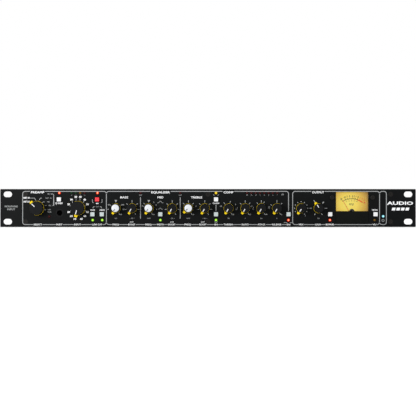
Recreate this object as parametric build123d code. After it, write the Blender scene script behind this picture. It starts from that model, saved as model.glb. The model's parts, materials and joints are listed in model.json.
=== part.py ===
from build123d import *
import os

# Microphone channel strip: a 19-inch, one-unit rack case with its controls, meter and insides.
# Millimetres. +X to the right, +Y from the front panel to the back of the case, +Z up.
# The origin is the centre of the four rack slots, on the panel's rear face.

# ---------------------------------------------------------------- driving dimensions
PANEL_W = 482.6             # 19-inch rack panel
PANEL_H = 44.0              # one rack unit, less the fitting gap
PANEL_T = 3.0
FRONT = -PANEL_T            # y of the panel's front face
SLOT_SPACING_X = 465.1
SLOT_SPACING_Z = 31.75
SLOT_LENGTH = 10.0
SLOT_WIDTH = 6.6

CASE_HALF_W = 220.0
CASE_DEPTH = 200.0
CASE_BOTTOM = -21.5
CASE_TOP = 21.5
SHEET = 1.0                 # steel sheet of the tray and the cover
FLOOR_TOP = CASE_BOTTOM + SHEET
SIDE_IN = CASE_HALF_W - SHEET
REAR_T = 2.0
REAR_IN = CASE_DEPTH - REAR_T
TAB_T = 2.0                 # front tabs of the tray
TAB_IN = 206.0

KNOB_Z = -0.3
BOARD_Y = 14.0              # front face of the control board
BOARD_T = 1.6
GAP = 0.05                  # radial running clearance of every shaft

# name: (x, size, pointer angle clockwise from straight up)
KNOBS = {
    "select": (-198.4, "large", -44),
    "input": (-150.9, "large", -165),
    "bass_freq": (-107.0, "small", -150),
    "bass_gain": (-88.2, "small", -150),
    "mid_freq": (-68.8, "small", -150),
    "mid_gain": (-41.6, "small", -150),
    "treble_freq": (-22.8, "small", -134),
    "treble_gain": (-3.7, "small", -150),
    "threshold": (23.8, "small", -150),
    "ratio": (43.2, "small", -150),
    "attack": (61.9, "small", -150),
    "release": (80.0, "small", -150),
    "mix": (108.1, "small", -150),
    "gain": (128.2, "small", -30),
}
# size: knob radius at the base and top, ring radius, nose reach and half width, height, inner end of the
# indicator groove, radii of the shaft and the bush, and half width of the control's body
KNOB_SIZES = {
    "large": dict(base=8.15, top=7.9, ring=8.3, nose=10.7, nose_half=1.5, tall=11.5, groove=2.4,
                  shaft=3.0, bush=4.4, body=10.0),
    "small": dict(base=5.5, top=5.3, ring=5.63, nose=7.8, nose_half=1.1, tall=10.5, groove=1.0,
                  shaft=2.0, bush=3.4, body=5.5),
}
RING_BACK = FRONT - 1.9     # the pointer ring runs clear of the fixing nut
RING_T = 1.8
NUT_T = 1.2
FLUTES = 12
FLUTE_R = 0.55
GROOVE_W = 1.0
GROOVE_T = 0.35

# name: (x, z)
BUTTONS = {
    "phase": (-172.9, 9.95),
    "phantom": (-128.6, 9.95),
    "low_cut_a": (-134.0, -7.25),
    "low_cut_b": (-123.1, -7.25),
    "mid_width": (-55.3, -7.25),
    "chain": (9.3, 9.95),
    "eq_in": (9.3, -7.25),
    "comp_in": (93.4, -7.25),
    "bypass": (141.7, -7.25),
    "meter_mode": (194.3, -7.25),
}
CAP = 4.8                   # square button cap
CAP_GAP = 0.4
CAP_PROUD = 4.0
STEM = 3.0
SWITCH = 7.5
SWITCH_Y = 4.5

GAIN_REDUCTION_X = 45.4     # first light of the row of eight
ROW_STEP = 5.0
LEDS = [
    (-184.3, -9.9), (-172.6, 17.5), (-158.6, 17.5), (-153.5, 17.5), (-148.4, 17.5), (-143.3, 17.5),
    (-128.3, 17.5), (-133.9, -14.0), (-122.8, -14.0), (-78.4, 17.6), (-55.3, -14.0), (-32.3, 17.6),
    (9.3, 17.5), (9.3, -14.0), (93.4, -14.0), (141.6, -14.0), (193.4, -14.0), (203.4, -9.6),
] + [(GAIN_REDUCTION_X + ROW_STEP * i, 17.5) for i in range(8)]
LED_R = 1.5

JACK_X, JACK_Z = -172.3, -5.7
JACK_BORE = 3.25            # for a 6.35 mm plug
JACK_BUSH = 4.7
JACK_HALF = 6.5

METER_X = 167.4
METER_HALF_W = 18.75
METER_BOTTOM, METER_TOP = -18.0, 18.65
METER_SILL = -3.6           # lower edge of the window
METER_LIP = 0.4             # rim that carries the lens
METER_BODY_HALF = 19.8      # case behind the panel, wider than its front
METER_BODY_TOP = 19.9
METER_BODY_Y = 0.1
METER_WALL = 0.9
METER_DEPTH = 25.0
METER_PROUD = 1.2
LENS_T = 2.0
LENS_BACK = FRONT - METER_PROUD + LENS_T
COVER_BACK = -1.0
PIVOT_Z = -10.1
NEEDLE_LENGTH = 21.9
NEEDLE_REST = -29           # degrees, leaning left at rest
NEEDLE_Y = 0.6
SCALE_Y = 3.0

FRONT_SCREWS = [(sx * 212.0, sz * 16.0) for sx in (-1, 1) for sz in (-1, 1)]
SPACER_SCREWS = [(0.0, 16.0), (0.0, -16.0)]     # into the control board's spacers
SUNK_SCREWS = FRONT_SCREWS + SPACER_SCREWS
METER_SCREWS = [(144.1, 12.2), (191.3, 12.2)]
EAR = 3.6                   # half width of the meter's fixing ears
SCREW_R = 1.48              # M3 shank
HEAD_R, HEAD_T = 2.75, 1.6  # pan head
SUNK_R, SUNK_T = 2.8, 1.7   # countersunk head
SCREW_HOLE = 1.52
REAR_SCREWS = [(sx * 214.0, sz * 12.0) for sx in (-1, 1) for sz in (-1, 1)]
SIDE_SCREW_Y = (40.0, 100.0, 160.0)
SIDE_SCREW_Z = 14.0

XLR_INPUTS = (-180.0, -145.0)
XLR_OUTPUT = -110.0
XLR_BODY = 11.8
XLR_MOUTH = CASE_DEPTH + 1.6
XLR_FLANGE = (26.0, 31.0)
XLR_SCREW = (9.5, 12.0)
REAR_JACKS = (-75.0, -50.0)
INLET_X = 170.0
INLET_MOUTH = CASE_DEPTH + 2.2
INLET_FLANGE = (48.0, 22.5)
INLET_BODY = (27.0, 19.6)
INLET_RECESS = (24.4, 16.8)
INLET_SCREW = 20.0
ROCKER_X = 134.0
ROCKER_HOLE = (13.0, 19.2)
ROCKER_PIVOT_Y = 197.0
ROCKER_REST = -8

MAIN_BOARD = (-205.0, 95.0, 40.0, 170.0)
MAIN_BOARD_Z = -15.5
STANDOFFS = [(x, y) for x in (-198.0, -55.0, 88.0) for y in (47.0, 163.0)]
TOROID_X, TOROID_Y = 157.0, 108.0
TOROID_R, TOROID_HOLE, TOROID_H = 36.0, 13.0, 32.0


# ---------------------------------------------------------------- shape helpers
def bar(x0, x1, y0, y1, z0, z1):
    """A box between two corners."""
    return Pos((x0 + x1) / 2, (y0 + y1) / 2, (z0 + z1) / 2) * Box(x1 - x0, y1 - y0, z1 - z0)


def rod(x, z, radius, y0, y1):
    """A cylinder along Y."""
    return Pos(x, (y0 + y1) / 2, z) * Rot(90, 0, 0) * Cylinder(radius, y1 - y0)


def post(x, y, radius, z0, z1):
    """A cylinder along Z."""
    return Pos(x, y, (z0 + z1) / 2) * Cylinder(radius, z1 - z0)


def pin(y, z, radius, x0, x1):
    """A cylinder along X."""
    return Pos((x0 + x1) / 2, y, z) * Rot(0, 90, 0) * Cylinder(radius, x1 - x0)


def cone(x, z, back_radius, front_radius, y0, y1):
    """A cone frustum along Y, narrowing or widening towards the front."""
    return Pos(x, (y0 + y1) / 2, z) * Rot(90, 0, 0) * Cone(back_radius, front_radius, y1 - y0)


def slab(sketch, y0, y1):
    """An outline in X and Z given a thickness from y0 to y1."""
    return extrude(Plane.XZ.offset(-y1) * sketch, amount=y1 - y0)


def save(name, *solids):
    """Write one sub-part; pieces that don't touch stay separate solids."""
    shapes = [s for shape in solids for s in shape.solids()]
    part = shapes[0] if len(shapes) == 1 else Compound(children=shapes)
    export_step(part, f"parts/{name}.step")


# ---------------------------------------------------------------- front panel
def front_panel():
    plate = slab(RectangleRounded(PANEL_W, PANEL_H, 1.0), FRONT, 0)
    front_rim = plate.faces().sort_by(Axis.Y)[0].edges()
    plate = chamfer(front_rim, 0.25)
    holes = Sketch()
    for sx in (-1, 1):
        for sz in (-1, 1):
            place = Pos(sx * SLOT_SPACING_X / 2, sz * SLOT_SPACING_Z / 2)
            holes += place * SlotOverall(SLOT_LENGTH, SLOT_WIDTH)
    for x, size, _ in KNOBS.values():
        holes += Pos(x, KNOB_Z) * Circle(KNOB_SIZES[size]["bush"] + 0.1)
    for x, z in BUTTONS.values():
        holes += Pos(x, z) * RectangleRounded(CAP + 2 * CAP_GAP, CAP + 2 * CAP_GAP, 0.6)
    for x, z in LEDS:
        holes += Pos(x, z) * Circle(LED_R + GAP)
    for x, z in SUNK_SCREWS + METER_SCREWS:
        holes += Pos(x, z) * Circle(SCREW_HOLE)
    holes += Pos(JACK_X, JACK_Z) * Circle(JACK_BUSH + GAP)
    meter_z = (METER_BOTTOM + METER_TOP) / 2
    holes += Pos(METER_X, meter_z) * Rectangle(2 * METER_HALF_W + 0.4, METER_TOP - METER_BOTTOM + 0.4)
    plate -= slab(holes, FRONT - 1, 1)
    for x, z in SUNK_SCREWS:
        plate -= cone(x, z, SCREW_HOLE, SUNK_R + GAP, FRONT, FRONT + SUNK_T)
    return plate


def hex_socket(x, z, y0, y1):
    return slab(Pos(x, z) * RegularPolygon(1.15, 6), y0, y1)


def panel_screws():
    """Six countersunk panel screws and the two pan-head meter screws, all with hexagon sockets."""
    screws = []
    for x, z in SUNK_SCREWS:
        screw = cone(x, z, SCREW_R, SUNK_R, FRONT, FRONT + SUNK_T) + rod(x, z, SCREW_R, FRONT + SUNK_T, 6)
        screws.append(screw - hex_socket(x, z, FRONT - 1, FRONT + 1))
    for x, z in METER_SCREWS:
        head = rod(x, z, HEAD_R, FRONT - HEAD_T, FRONT)
        head = fillet(head.faces().sort_by(Axis.Y)[0].edges(), 0.6)
        screws.append(head + rod(x, z, SCREW_R, FRONT, 6) - hex_socket(x, z, FRONT - 2, FRONT - HEAD_T + 1))
    return screws


# ---------------------------------------------------------------- case
def chassis_tray():
    """Folded steel: floor, two sides, front tabs for the panel and rear tabs for the back."""
    tray = bar(-CASE_HALF_W, CASE_HALF_W, 0, CASE_DEPTH, CASE_BOTTOM, FLOOR_TOP)
    for side in (-1, 1):
        wall = sorted((side * SIDE_IN, side * CASE_HALF_W))
        front_tab = sorted((side * TAB_IN, side * SIDE_IN))
        rear_tab = sorted((side * 208.0, side * SIDE_IN))
        tray += bar(*wall, 0, CASE_DEPTH, CASE_BOTTOM, CASE_TOP - SHEET)
        tray += bar(*front_tab, 0, TAB_T, FLOOR_TOP, 20)
        tray += bar(*rear_tab, REAR_IN - 1.5, REAR_IN, FLOOR_TOP, 20)
    for x, z in FRONT_SCREWS:
        tray -= rod(x, z, SCREW_HOLE, -1, TAB_T + 1)
    for x, z in REAR_SCREWS:
        tray -= rod(x, z, SCREW_HOLE, REAR_IN - 3, REAR_IN + 1)
    for y in SIDE_SCREW_Y:
        tray -= pin(y, SIDE_SCREW_Z, SCREW_HOLE, -CASE_HALF_W - 1, CASE_HALF_W + 1)
    return tray


def top_cover():
    """Lid with two side flanges that slip inside the tray and two fields of vent slots."""
    cover = bar(-CASE_HALF_W, CASE_HALF_W, 0, CASE_DEPTH, CASE_TOP - SHEET, CASE_TOP)
    for side in (-1, 1):
        flange = sorted((side * (SIDE_IN - 0.3), side * (SIDE_IN - 1.3)))
        cover += bar(*flange, 5, REAR_IN - 5, 8, CASE_TOP - SHEET)
    vents = Sketch()
    for field_x in (-120.0, 157.0):
        for column in range(12):
            for row in range(2):
                x = field_x + (column - 5.5) * 7
                y = 85 + row * 40
                vents += Pos(x, y) * Rot(0, 0, 90) * SlotOverall(28, 3)
    cover -= extrude(Pos(0, 0, CASE_TOP - 2) * vents, amount=4)
    for y in SIDE_SCREW_Y:
        cover -= pin(y, SIDE_SCREW_Z, SCREW_HOLE, -CASE_HALF_W - 1, CASE_HALF_W + 1)
    return cover


def rear_panel():
    width = 2 * SIDE_IN - 0.2
    outline = Rectangle(width, 2 * (CASE_TOP - SHEET) - 0.2)
    for x in XLR_INPUTS + (XLR_OUTPUT,):
        outline -= Pos(x, 0) * Circle(XLR_BODY + 0.2)
        for side in (-1, 1):
            outline -= Pos(x - side * XLR_SCREW[0], side * XLR_SCREW[1]) * Circle(SCREW_HOLE)
    for x in REAR_JACKS:
        outline -= Pos(x, 0) * Circle(JACK_BUSH + 0.1)
    outline -= Pos(INLET_X, 0) * Rectangle(INLET_BODY[0] + 0.4, INLET_BODY[1] + 0.4)
    for side in (-1, 1):
        outline -= Pos(INLET_X + side * INLET_SCREW, 0) * Circle(SCREW_HOLE)
    outline -= Pos(ROCKER_X, 0) * Rectangle(ROCKER_HOLE[0] + 0.2, ROCKER_HOLE[1] + 0.2)
    for x, z in REAR_SCREWS:
        outline -= Pos(x, z) * Circle(SCREW_HOLE)
    return slab(outline, REAR_IN, CASE_DEPTH)


def pan_screw(length):
    """Pan-head screw along +Z: the head stands above z = 0 and the shank hangs below it."""
    head = Pos(0, 0, HEAD_T / 2) * Cylinder(HEAD_R, HEAD_T)
    head = fillet(head.faces().sort_by(Axis.Z)[-1].edges(), 0.6)
    cross = Pos(0, 0, HEAD_T) * (Box(3, 0.6, 1.4) + Box(0.6, 3, 1.4))
    return head - cross + Pos(0, 0, -length / 2) * Cylinder(SCREW_R, length)


def cover_screws():
    """Pan-head screws of the cover, the rear panel, the connectors and the main board."""
    screws = []
    for side in (-1, 1):
        for y in SIDE_SCREW_Y:
            place = Pos(side * CASE_HALF_W, y, SIDE_SCREW_Z) * Rot(0, side * 90, 0)
            screws.append(place * pan_screw(6))
    behind = [(x, z, CASE_DEPTH, 8) for x, z in REAR_SCREWS]
    for x in XLR_INPUTS + (XLR_OUTPUT,):
        for side in (-1, 1):
            behind.append((x - side * XLR_SCREW[0], side * XLR_SCREW[1], XLR_MOUTH, 6))
    for side in (-1, 1):
        behind.append((INLET_X + side * INLET_SCREW, 0, INLET_MOUTH, 7))
    for x, z, y, length in behind:
        screws.append(Pos(x, y, z) * Rot(-90, 0, 0) * pan_screw(length))
    for x, y in STANDOFFS:
        screws.append(Pos(x, y, MAIN_BOARD_Z + BOARD_T) * pan_screw(5))
    return screws


# ---------------------------------------------------------------- knobs
def turned(x, angle, shape):
    """Turn a shape that points up by an angle clockwise, seen from the front, and move it to x."""
    return Pos(x, 0, KNOB_Z) * Rot(0, angle, 0) * shape


def knob(x, size, angle):
    """Fluted cap with an indicator groove, a hub through the ring, and the control's own shaft."""
    s = KNOB_SIZES[size]
    back = RING_BACK - RING_T
    front = back - s["tall"]
    body = cone(0, 0, s["base"], s["top"], front, back)
    body = fillet(body.faces().sort_by(Axis.Y)[0].edges(), 0.6)
    for i in range(FLUTES):
        turn = 360 / FLUTES * (i + 0.5)
        reach = (s["base"] + s["top"]) / 2 + 0.25
        flute = rod(0, reach, FLUTE_R, front + 1, back - 3)
        body -= Rot(0, turn, 0) * flute
    body += rod(0, 0, s["shaft"] + 0.9, back, RING_BACK)
    body -= rod(0, 0, s["shaft"] + 0.02, front + 3, RING_BACK + 1)
    body -= bar(-GROOVE_W / 2, GROOVE_W / 2, front - 1, front + GROOVE_T, s["groove"], s["top"] - 0.5)
    shaft = rod(0, 0, s["shaft"], front + 3.5, BOARD_Y - 3)
    return turned(x, angle, body), turned(x, angle, shaft)


def pointer_ring(x, size, angle):
    """Flat ring under the knob with a nose that points at the dial."""
    s = KNOB_SIZES[size]
    ring = Circle(s["ring"])
    root = s["ring"] * 0.8
    half = s["nose_half"]
    nose = Polygon((-1.7 * half, root), (1.7 * half, root), (half, s["nose"]), (-half, s["nose"]), align=None)
    ring = slab(ring + nose, RING_BACK - RING_T, RING_BACK)
    ring -= rod(0, 0, s["shaft"] + 0.95, RING_BACK - RING_T - 1, RING_BACK + 1)
    return turned(x, angle, ring)


def rotary_controls():
    """Twelve potentiometers and two rotary switches: body, threaded bush and fixing nut."""
    controls = []
    for x, size, _ in KNOBS.values():
        s = KNOB_SIZES[size]
        if size == "large":
            body = rod(x, KNOB_Z, s["body"], 3, BOARD_Y)
        else:
            body = bar(x - s["body"], x + s["body"], 3, BOARD_Y, KNOB_Z - s["body"], KNOB_Z + s["body"])
        body += rod(x, KNOB_Z, s["bush"], FRONT - NUT_T - 0.2, 3)
        body -= rod(x, KNOB_Z, s["shaft"] + GAP, FRONT - 4, BOARD_Y - 2)
        nut = slab(Pos(x, KNOB_Z) * RegularPolygon(s["bush"] + 1.6, 6), FRONT - NUT_T, FRONT)
        nut -= rod(x, KNOB_Z, s["bush"] + 0.02, FRONT - 4, 0)
        controls += [body, nut]
    return controls


# ---------------------------------------------------------------- buttons and lights
def button(x, z):
    """Square cap with rounded edges on a square stem that enters its switch."""
    half = CAP / 2
    front = FRONT - CAP_PROUD
    cap = bar(x - half, x + half, front, 1.5, z - half, z + half)
    cap = fillet(cap.edges().filter_by(Axis.Y), 0.4)
    cap = fillet(cap.faces().sort_by(Axis.Y)[0].edges(), 0.35)
    stem = STEM / 2
    return cap + bar(x - stem, x + stem, 1.5, SWITCH_Y + 3.5, z - stem, z + stem)


def push_switches():
    switches = []
    for x, z in BUTTONS.values():
        half = SWITCH / 2
        slot = STEM / 2 + 0.3
        case = bar(x - half, x + half, SWITCH_Y, BOARD_Y, z - half, z + half)
        switches.append(case - bar(x - slot, x + slot, SWITCH_Y - 1, BOARD_Y - 2, z - slot, z + slot))
    return switches


def leds():
    """Round 3 mm lights with a domed nose, a flange and two leads that reach the board."""
    lights = []
    for x, z in LEDS:
        nose = rod(x, z, LED_R, FRONT - 1.0, 1.5)
        nose = fillet(nose.faces().sort_by(Axis.Y)[0].edges(), LED_R * 0.8)
        light = nose + rod(x, z, LED_R + 0.4, 1.5, 2.5)
        for side in (-1, 1):
            lead = x + side * 1.27
            light += bar(lead - 0.25, lead + 0.25, 2.5, BOARD_Y, z - 0.25, z + 0.25)
        lights.append(light)
    return lights


def control_board():
    """Upright boards behind the panel, one each side of the meter, cut out around the front jack."""
    left = bar(-212, 147, BOARD_Y, BOARD_Y + BOARD_T, -19, 19)
    margin = JACK_HALF + 0.4
    left -= bar(JACK_X - margin, JACK_X + margin, BOARD_Y - 1, BOARD_Y + 3, JACK_Z - margin, JACK_Z + margin)
    right = bar(187.5, 211, BOARD_Y, BOARD_Y + BOARD_T, -19, 19)
    return left, right


# ---------------------------------------------------------------- meter
def meter_housing():
    """Black case behind the panel, lens rim, lower front cover, fixing ears, movement and hub cover."""
    left, right = METER_X - METER_BODY_HALF, METER_X + METER_BODY_HALF
    wall = METER_WALL
    case = bar(left, right, METER_BODY_Y, METER_DEPTH, METER_BOTTOM, METER_BODY_TOP)
    case -= bar(left + wall, right - wall, METER_BODY_Y + wall, METER_DEPTH - wall,
                METER_BOTTOM + wall, METER_BODY_TOP - wall)
    x0, x1 = METER_X - METER_HALF_W, METER_X + METER_HALF_W
    case += bar(x0, x1, LENS_BACK, METER_BODY_Y, METER_BOTTOM, METER_TOP)
    case -= bar(x0 + METER_LIP, x1 - METER_LIP, LENS_BACK - 1, METER_BODY_Y + wall + 1,
                METER_BOTTOM + wall, METER_TOP - METER_LIP)
    case += bar(x0, x1, FRONT - METER_PROUD, COVER_BACK, METER_BOTTOM, METER_SILL)
    for x, z in METER_SCREWS:
        inner = left + wall / 2 if x < METER_X else right - wall / 2
        ear = bar(min(x - EAR, inner), max(x + EAR, inner), 0, 2, z - EAR, z + EAR)
        case += ear - rod(x, z, SCREW_HOLE, -1, 3)
    movement = bar(METER_X - 8, METER_X + 8, 5, 18, METER_BOTTOM + wall, -5)
    movement -= rod(METER_X, PIVOT_Z, 0.5 + GAP, 4, 12)
    hub_cover = rod(METER_X, METER_SILL - 0.4, 3.0, 1.6, SCALE_Y)
    return case, movement, hub_cover


def meter_scale():
    """Dial plate behind the needle, notched for the needle's staff."""
    half = METER_BODY_HALF - METER_WALL - 0.05
    top = METER_BODY_TOP - METER_WALL - 0.05
    plate = bar(METER_X - half, METER_X + half, SCALE_Y, SCALE_Y + 0.8, -16, top)
    return plate - bar(METER_X - 3, METER_X + 3, SCALE_Y - 1, SCALE_Y + 2, -17, PIVOT_Z + 3)


def meter_lens():
    """Clear window that closes the meter above the lower cover."""
    x0, x1 = METER_X - METER_HALF_W, METER_X + METER_HALF_W
    lens = bar(x0, x1, FRONT - METER_PROUD, LENS_BACK, METER_SILL, METER_TOP)
    rim = lens.faces().sort_by(Axis.Y)[0].edges().sort_by(Axis.Z)[1:]
    return chamfer(rim, 0.25)


def meter_needle():
    """Tapered needle, counterweight, hub and staff, leaning left at rest."""
    blade = Polygon((-0.45, 0), (0.45, 0), (0.18, NEEDLE_LENGTH), (-0.18, NEEDLE_LENGTH), align=None)
    tail = Pos(0, -2.2) * Rectangle(1.2, 4.4)
    needle = slab(blade + tail, NEEDLE_Y, NEEDLE_Y + 0.35)
    needle += rod(0, 0, 1.6, NEEDLE_Y - 0.6, NEEDLE_Y + 1.4)
    needle += rod(0, 0, 0.5, NEEDLE_Y + 1.4, 11)
    return Pos(METER_X, 0, PIVOT_Z) * Rot(0, NEEDLE_REST, 0) * needle


# ---------------------------------------------------------------- rear connectors
def xlr_sockets():
    """Two female sockets with a release lug and one male socket with three pins."""
    sockets = []
    mouth = XLR_MOUTH
    for x in XLR_INPUTS + (XLR_OUTPUT,):
        flange = Pos(x, 0) * RectangleRounded(*XLR_FLANGE, 2.5)
        for side in (-1, 1):
            flange -= Pos(x - side * XLR_SCREW[0], side * XLR_SCREW[1]) * Circle(SCREW_HOLE)
        body = slab(flange, CASE_DEPTH, mouth) + rod(x, 0, XLR_BODY, CASE_DEPTH - 24, mouth)
        contacts = [(x - 4.3, 1.6), (x + 4.3, 1.6), (x, -4.6)]
        if x == XLR_OUTPUT:
            body -= rod(x, 0, 9.6, mouth - 16, mouth + 1)
            for cx, cz in contacts:
                body += rod(cx, cz, 1.15, mouth - 16.5, mouth - 2)
        else:
            body -= rod(x, 0, 9.7, mouth - 14, mouth + 1) - rod(x, 0, 7.9, mouth - 15, mouth + 2)
            for cx, cz in contacts:
                body -= rod(cx, -cz, 1.5, mouth - 12, mouth + 1)
        sockets.append(body)
    return sockets


def jack_sockets():
    """One front and two rear 6.35 mm sockets; the rear ones have ring nuts."""
    half = JACK_HALF
    front = bar(JACK_X - half, JACK_X + half, 3, 27, JACK_Z - half, JACK_Z + half)
    front += rod(JACK_X, JACK_Z, JACK_BUSH, FRONT, 3)
    front -= rod(JACK_X, JACK_Z, JACK_BORE, FRONT - 1, 25)
    sockets = [front]
    for x in REAR_JACKS:
        body = bar(x - half, x + half, REAR_IN - 24, REAR_IN, -half, half)
        body += rod(x, 0, JACK_BUSH, REAR_IN, CASE_DEPTH + 2.5)
        body -= rod(x, 0, JACK_BORE, REAR_IN - 22, CASE_DEPTH + 4)
        nut = slab(Pos(x, 0) * RegularPolygon(7.4, 6), CASE_DEPTH, CASE_DEPTH + 2)
        sockets += [body, nut - rod(x, 0, JACK_BUSH + 0.02, CASE_DEPTH - 1, CASE_DEPTH + 3)]
    return sockets


def mains_inlet():
    """Three-pin mains inlet with its flange, and the frame that the rocker sits in."""
    mouth = INLET_MOUTH
    flange = Pos(INLET_X, 0) * RectangleRounded(*INLET_FLANGE, 4)
    for side in (-1, 1):
        flange -= Pos(INLET_X + side * INLET_SCREW, 0) * Circle(SCREW_HOLE)
    inlet = slab(flange, CASE_DEPTH, mouth)
    inlet += slab(Pos(INLET_X, 0) * Rectangle(*INLET_BODY), CASE_DEPTH - 20, CASE_DEPTH)
    inlet -= slab(Pos(INLET_X, 0) * RectangleRounded(*INLET_RECESS, 2.5), mouth - 17, mouth + 1)
    for dx, dz in ((-7, -1), (0, 3), (7, -1)):
        x = INLET_X + dx
        inlet += bar(x - 1, x + 1, mouth - 18, mouth - 3, dz - 2, dz + 2)
    half_w, half_h = ROCKER_HOLE[0] / 2, ROCKER_HOLE[1] / 2
    rim_w, rim_h = half_w + 1.2, half_h + 1.2
    frame = bar(ROCKER_X - rim_w, ROCKER_X + rim_w, CASE_DEPTH, mouth, -rim_h, rim_h)
    frame += bar(ROCKER_X - half_w, ROCKER_X + half_w, 184, CASE_DEPTH, -half_h, half_h)
    frame -= bar(ROCKER_X - 5.8, ROCKER_X + 5.8, 186, mouth + 1, -8.8, 8.8)
    frame -= pin(ROCKER_PIVOT_Y, 0, 1 + GAP, ROCKER_X - 7, ROCKER_X + 7)
    return inlet, frame


def power_rocker():
    """Shallow V-faced rocker with pivot pins, tilted to its on position."""
    side = Polygon((-4, -3), (4.2, -7.9), (3.2, 0), (4.2, 7.9), (-4, 3), align=None)
    rocker = extrude(Plane.YZ.offset(-5.5) * side, amount=11)
    rocker += pin(0, 0, 1, -6.4, 6.4)
    return Pos(ROCKER_X, ROCKER_PIVOT_Y, 0) * Rot(ROCKER_REST, 0, 0) * rocker


# ---------------------------------------------------------------- inside the case
def main_board():
    x0, x1, y0, y1 = MAIN_BOARD
    board = bar(x0, x1, y0, y1, MAIN_BOARD_Z, MAIN_BOARD_Z + BOARD_T)
    for x, y in STANDOFFS:
        board -= post(x, y, SCREW_HOLE, MAIN_BOARD_Z - 1, MAIN_BOARD_Z + 3)
    return board


def board_standoffs():
    spacers = []
    for x, y in STANDOFFS:
        spacer = Pos(x, y, FLOOR_TOP) * extrude(RegularPolygon(3.2, 6), amount=MAIN_BOARD_Z - FLOOR_TOP)
        spacers.append(spacer - post(x, y, SCREW_HOLE, MAIN_BOARD_Z - 4, MAIN_BOARD_Z + 1))
    for x, z in SPACER_SCREWS:
        spacers.append(rod(x, z, 2.6, 0, BOARD_Y) - rod(x, z, SCREW_HOLE, -1, 8))
    return spacers


def board_components():
    """Transformer cans, electrolytic capacitors, relays, heat sink and amplifier packages."""
    base = MAIN_BOARD_Z + BOARD_T
    pieces = [bar(x - 14, x + 14, 128, 150, base, base + 24) for x in (-165.0, -120.0)]
    for i in range(6):
        can = post(30 + 14 * (i % 3), 70 + 22 * (i // 3), 5.5, base, base + 24)
        pieces.append(fillet(can.faces().sort_by(Axis.Z)[-1].edges(), 0.6))
    for i in range(8):
        pieces.append(post(-180 + 22 * i, 112, 3.2, base, base + 12))
    for i in range(5):
        pieces.append(bar(-178 + 26 * i, -158 + 26 * i, 76, 86, base, base + 9))
    for i in range(10):
        pieces.append(bar(-185 + 18 * i, -178 + 18 * i, 56, 66, base, base + 3.4))
    sink = bar(40, 80, 140, 143, base, base + 26)
    for i in range(6):
        sink += bar(40 + 7.6 * i, 42 + 7.6 * i, 143, 155, base, base + 26)
    pieces.append(sink)
    return pieces


def mains_transformer():
    """Toroid with rounded windings, held by a dished plate and a central bolt."""
    top = FLOOR_TOP + TOROID_H
    ring = post(TOROID_X, TOROID_Y, TOROID_R, FLOOR_TOP, top)
    ring = fillet(ring.edges().filter_by(GeomType.CIRCLE), 7)
    ring -= post(TOROID_X, TOROID_Y, TOROID_HOLE, FLOOR_TOP - 1, top + 1)
    plate = post(TOROID_X, TOROID_Y, 20, top, top + 1.5) - post(TOROID_X, TOROID_Y, 2.52, top - 1, top + 3)
    bolt = post(TOROID_X, TOROID_Y, 2.5, FLOOR_TOP, top + 1.5)
    bolt += Pos(TOROID_X, TOROID_Y, top + 1.5) * extrude(RegularPolygon(4.6, 6), amount=3.2)
    return ring, plate, bolt


# ---------------------------------------------------------------- write every sub-part
os.makedirs("parts", exist_ok=True)
save("front_panel", front_panel())
save("panel_screws", *panel_screws())
save("chassis_tray", chassis_tray())
save("top_cover", top_cover())
save("rear_panel", rear_panel())
save("cover_screws", *cover_screws())
for name, (x, size, angle) in KNOBS.items():
    save(f"{name}_knob", *knob(x, size, angle))
    save(f"{name}_pointer", pointer_ring(x, size, angle))
save("rotary_controls", *rotary_controls())
for name, (x, z) in BUTTONS.items():
    save(f"{name}_button", button(x, z))
save("push_switches", *push_switches())
save("leds", *leds())
save("control_board", *control_board())
save("meter_housing", *meter_housing())
save("meter_scale", meter_scale())
save("meter_lens", meter_lens())
save("meter_needle", meter_needle())
save("xlr_sockets", *xlr_sockets())
save("jack_sockets", *jack_sockets())
save("mains_inlet", *mains_inlet())
save("power_rocker", power_rocker())
save("main_board", main_board())
save("board_standoffs", *board_standoffs())
save("board_components", *board_components())
save("mains_transformer", *mains_transformer())
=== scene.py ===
"""Looks of the one-unit microphone channel strip: print, dials, lights, meter face, sockets and materials."""
import json
from math import cos, hypot, pi, radians, sin

import bmesh
import bpy
from mathutils import Matrix, Vector


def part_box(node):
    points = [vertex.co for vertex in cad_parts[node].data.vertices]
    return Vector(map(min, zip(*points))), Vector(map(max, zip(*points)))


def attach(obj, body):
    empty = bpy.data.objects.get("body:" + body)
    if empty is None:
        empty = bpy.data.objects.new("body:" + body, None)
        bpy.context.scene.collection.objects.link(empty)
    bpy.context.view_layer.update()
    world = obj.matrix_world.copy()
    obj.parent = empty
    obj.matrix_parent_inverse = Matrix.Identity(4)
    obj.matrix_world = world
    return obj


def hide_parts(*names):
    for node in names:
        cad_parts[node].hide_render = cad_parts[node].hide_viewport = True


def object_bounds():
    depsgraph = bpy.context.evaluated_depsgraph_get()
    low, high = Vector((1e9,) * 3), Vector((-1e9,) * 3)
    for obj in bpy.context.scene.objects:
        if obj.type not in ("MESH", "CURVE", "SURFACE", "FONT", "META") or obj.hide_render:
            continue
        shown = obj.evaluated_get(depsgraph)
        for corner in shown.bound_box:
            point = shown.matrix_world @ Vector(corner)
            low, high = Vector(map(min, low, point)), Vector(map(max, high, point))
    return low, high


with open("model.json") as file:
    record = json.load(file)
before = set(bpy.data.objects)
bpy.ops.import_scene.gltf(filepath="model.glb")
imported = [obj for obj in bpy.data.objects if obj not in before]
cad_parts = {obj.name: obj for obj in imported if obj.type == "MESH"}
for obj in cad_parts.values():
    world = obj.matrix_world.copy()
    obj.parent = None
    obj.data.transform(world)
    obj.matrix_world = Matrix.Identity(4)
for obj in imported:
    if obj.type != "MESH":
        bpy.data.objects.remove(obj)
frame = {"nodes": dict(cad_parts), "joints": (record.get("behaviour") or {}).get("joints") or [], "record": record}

CAD_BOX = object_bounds()
MM = 0.001
NODES = frame["nodes"]
CASE = "case"

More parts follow.
